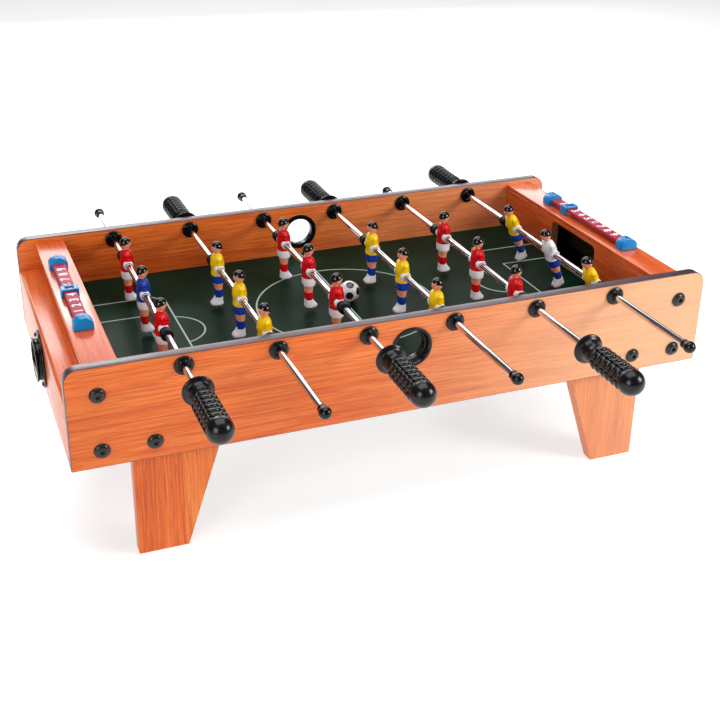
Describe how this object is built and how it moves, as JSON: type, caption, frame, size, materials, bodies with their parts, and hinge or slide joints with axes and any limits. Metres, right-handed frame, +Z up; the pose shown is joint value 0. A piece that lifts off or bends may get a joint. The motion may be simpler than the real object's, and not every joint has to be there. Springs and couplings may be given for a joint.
{
  "type": "tabletop foosball",
  "caption": "Tabletop football game: cherry board box on flat legs, sliding and spinning rods of players, ribbed grips, goals with ball returns, sliding score counters.",
  "frame": {"origin": "on the surface the legs stand on, under the middle of the whole object's bounding box at rest", "axes": "+X along the pitch from the red goal to the yellow goal, +Y across it to the back, +Z up"},
  "size_m": [0.7066, 0.6336, 0.2405],
  "materials": {
    "cherry": "satin cherry laminate on board",
    "pitch": "printed dark green",
    "black_plastic": "gloss",
    "black_rubber": "satin",
    "chrome": "polished",
    "red_plastic": "gloss, painted details",
    "blue_keeper_plastic": "gloss, painted details",
    "yellow_plastic": "gloss, painted details",
    "white_keeper_plastic": "gloss, painted details",
    "maroon_plastic": "satin",
    "blue_plastic": "gloss",
    "ball_plastic": "satin, black and white"
  },
  "bodies": {
    "table": {"front_side_board": "cherry", "back_side_board": "cherry", "left_goal_panel": "cherry", "left_end_box": "cherry", "left_ball_return_cup": "black_plastic", "left_score_rail": "maroon_plastic", "right_goal_panel": "cherry", "right_end_box": "cherry", "right_ball_return_cup": "black_plastic", "right_score_rail": "maroon_plastic", "playfield": "pitch", "leg_front_left": "cherry", "leg_back_left": "cherry", "leg_front_right": "cherry", "leg_back_right": "cherry", "bushing_1_front": "black_plastic", "bushing_1_back": "black_plastic", "bushing_2_front": "black_plastic", "bushing_2_back": "black_plastic", "bushing_3_front": "black_plastic", "bushing_3_back": "black_plastic", "bushing_4_front": "black_plastic", "bushing_4_back": "black_plastic", "bushing_5_front": "black_plastic", "bushing_5_back": "black_plastic", "bushing_6_front": "black_plastic", "bushing_6_back": "black_plastic"},
    "rod_1_slide_body": {"rod_1": "chrome"},
    "rod_1_spin_body": {"rod_1_handle": "black_rubber", "rod_1_player_back": "red_plastic", "rod_1_player_middle": "blue_keeper_plastic", "rod_1_player_front": "red_plastic"},
    "rod_2_slide_body": {"rod_2": "chrome"},
    "rod_2_spin_body": {"rod_2_handle": "black_rubber", "rod_2_player_back": "yellow_plastic", "rod_2_player_middle": "yellow_plastic", "rod_2_player_front": "yellow_plastic"},
    "rod_3_slide_body": {"rod_3": "chrome"},
    "rod_3_spin_body": {"rod_3_handle": "black_rubber", "rod_3_player_back": "red_plastic", "rod_3_player_middle": "red_plastic", "rod_3_player_front": "red_plastic"},
    "rod_4_slide_body": {"rod_4": "chrome"},
    "rod_4_spin_body": {"rod_4_handle": "black_rubber", "rod_4_player_back": "yellow_plastic", "rod_4_player_middle": "yellow_plastic", "rod_4_player_front": "yellow_plastic"},
    "rod_5_slide_body": {"rod_5": "chrome"},
    "rod_5_spin_body": {"rod_5_handle": "black_rubber", "rod_5_player_back": "red_plastic", "rod_5_player_middle": "red_plastic", "rod_5_player_front": "red_plastic"},
    "rod_6_slide_body": {"rod_6": "chrome"},
    "rod_6_spin_body": {"rod_6_handle": "black_rubber", "rod_6_player_back": "yellow_plastic", "rod_6_player_middle": "white_keeper_plastic", "rod_6_player_front": "yellow_plastic"},
    "left_score_marker": {"left_score_slider": "blue_plastic"},
    "right_score_marker": {"right_score_slider": "blue_plastic"},
    "ball": {"ball": "ball_plastic"}
  },
  "joints": [
    {"name": "rod_1_slide", "type": "slide", "parent": "table", "child": "rod_1_slide_body", "axis": [0, 1, 0], "range_m": [-0.049, 0.049]},
    {"name": "rod_1_spin", "type": "hinge", "parent": "rod_1_slide_body", "child": "rod_1_spin_body", "pos_m": [-0.23275, 0.04606, 0.21], "axis": [0, 1, 0], "continuous": true},
    {"name": "rod_2_slide", "type": "slide", "parent": "table", "child": "rod_2_slide_body", "axis": [0, 1, 0], "range_m": [-0.00196, 0.09604]},
    {"name": "rod_2_spin", "type": "hinge", "parent": "rod_2_slide_body", "child": "rod_2_spin_body", "pos_m": [-0.13965, -0.00098, 0.21], "axis": [0, 1, 0], "continuous": true},
    {"name": "rod_3_slide", "type": "slide", "parent": "table", "child": "rod_3_slide_body", "axis": [0, 1, 0], "range_m": [-0.04802, 0.04998]},
    {"name": "rod_3_spin", "type": "hinge", "parent": "rod_3_slide_body", "child": "rod_3_spin_body", "pos_m": [-0.04655, 0.04508, 0.21], "axis": [0, 1, 0], "continuous": true},
    {"name": "rod_4_slide", "type": "slide", "parent": "table", "child": "rod_4_slide_body", "axis": [0, 1, 0], "range_m": [-0.00098, 0.09702]},
    {"name": "rod_4_spin", "type": "hinge", "parent": "rod_4_slide_body", "child": "rod_4_spin_body", "pos_m": [0.04655, -0.00196, 0.21], "axis": [0, 1, 0], "continuous": true},
    {"name": "rod_5_slide", "type": "slide", "parent": "table", "child": "rod_5_slide_body", "axis": [0, 1, 0], "range_m": [-0.00392, 0.09408]},
    {"name": "rod_5_spin", "type": "hinge", "parent": "rod_5_slide_body", "child": "rod_5_spin_body", "pos_m": [0.13965, 0.00098, 0.21], "axis": [0, 1, 0], "continuous": true},
    {"name": "rod_6_slide", "type": "slide", "parent": "table", "child": "rod_6_slide_body", "axis": [0, 1, 0], "range_m": [-0.00196, 0.09604]},
    {"name": "rod_6_spin", "type": "hinge", "parent": "rod_6_slide_body", "child": "rod_6_spin_body", "pos_m": [0.23275, -0.00098, 0.21], "axis": [0, 1, 0], "continuous": true},
    {"name": "left_score_slide", "type": "slide", "parent": "table", "child": "left_score_marker", "axis": [0, 1, 0], "range_m": [-0.068, 0.068]},
    {"name": "right_score_slide", "type": "slide", "parent": "table", "child": "right_score_marker", "axis": [0, 1, 0], "range_m": [-0.1106, 0.0254]},
    {"name": "ball_roll", "type": "slide", "parent": "table", "child": "ball", "axis": [1, 0, 0], "range_m": [-0.02, 0.28]}
  ]
}
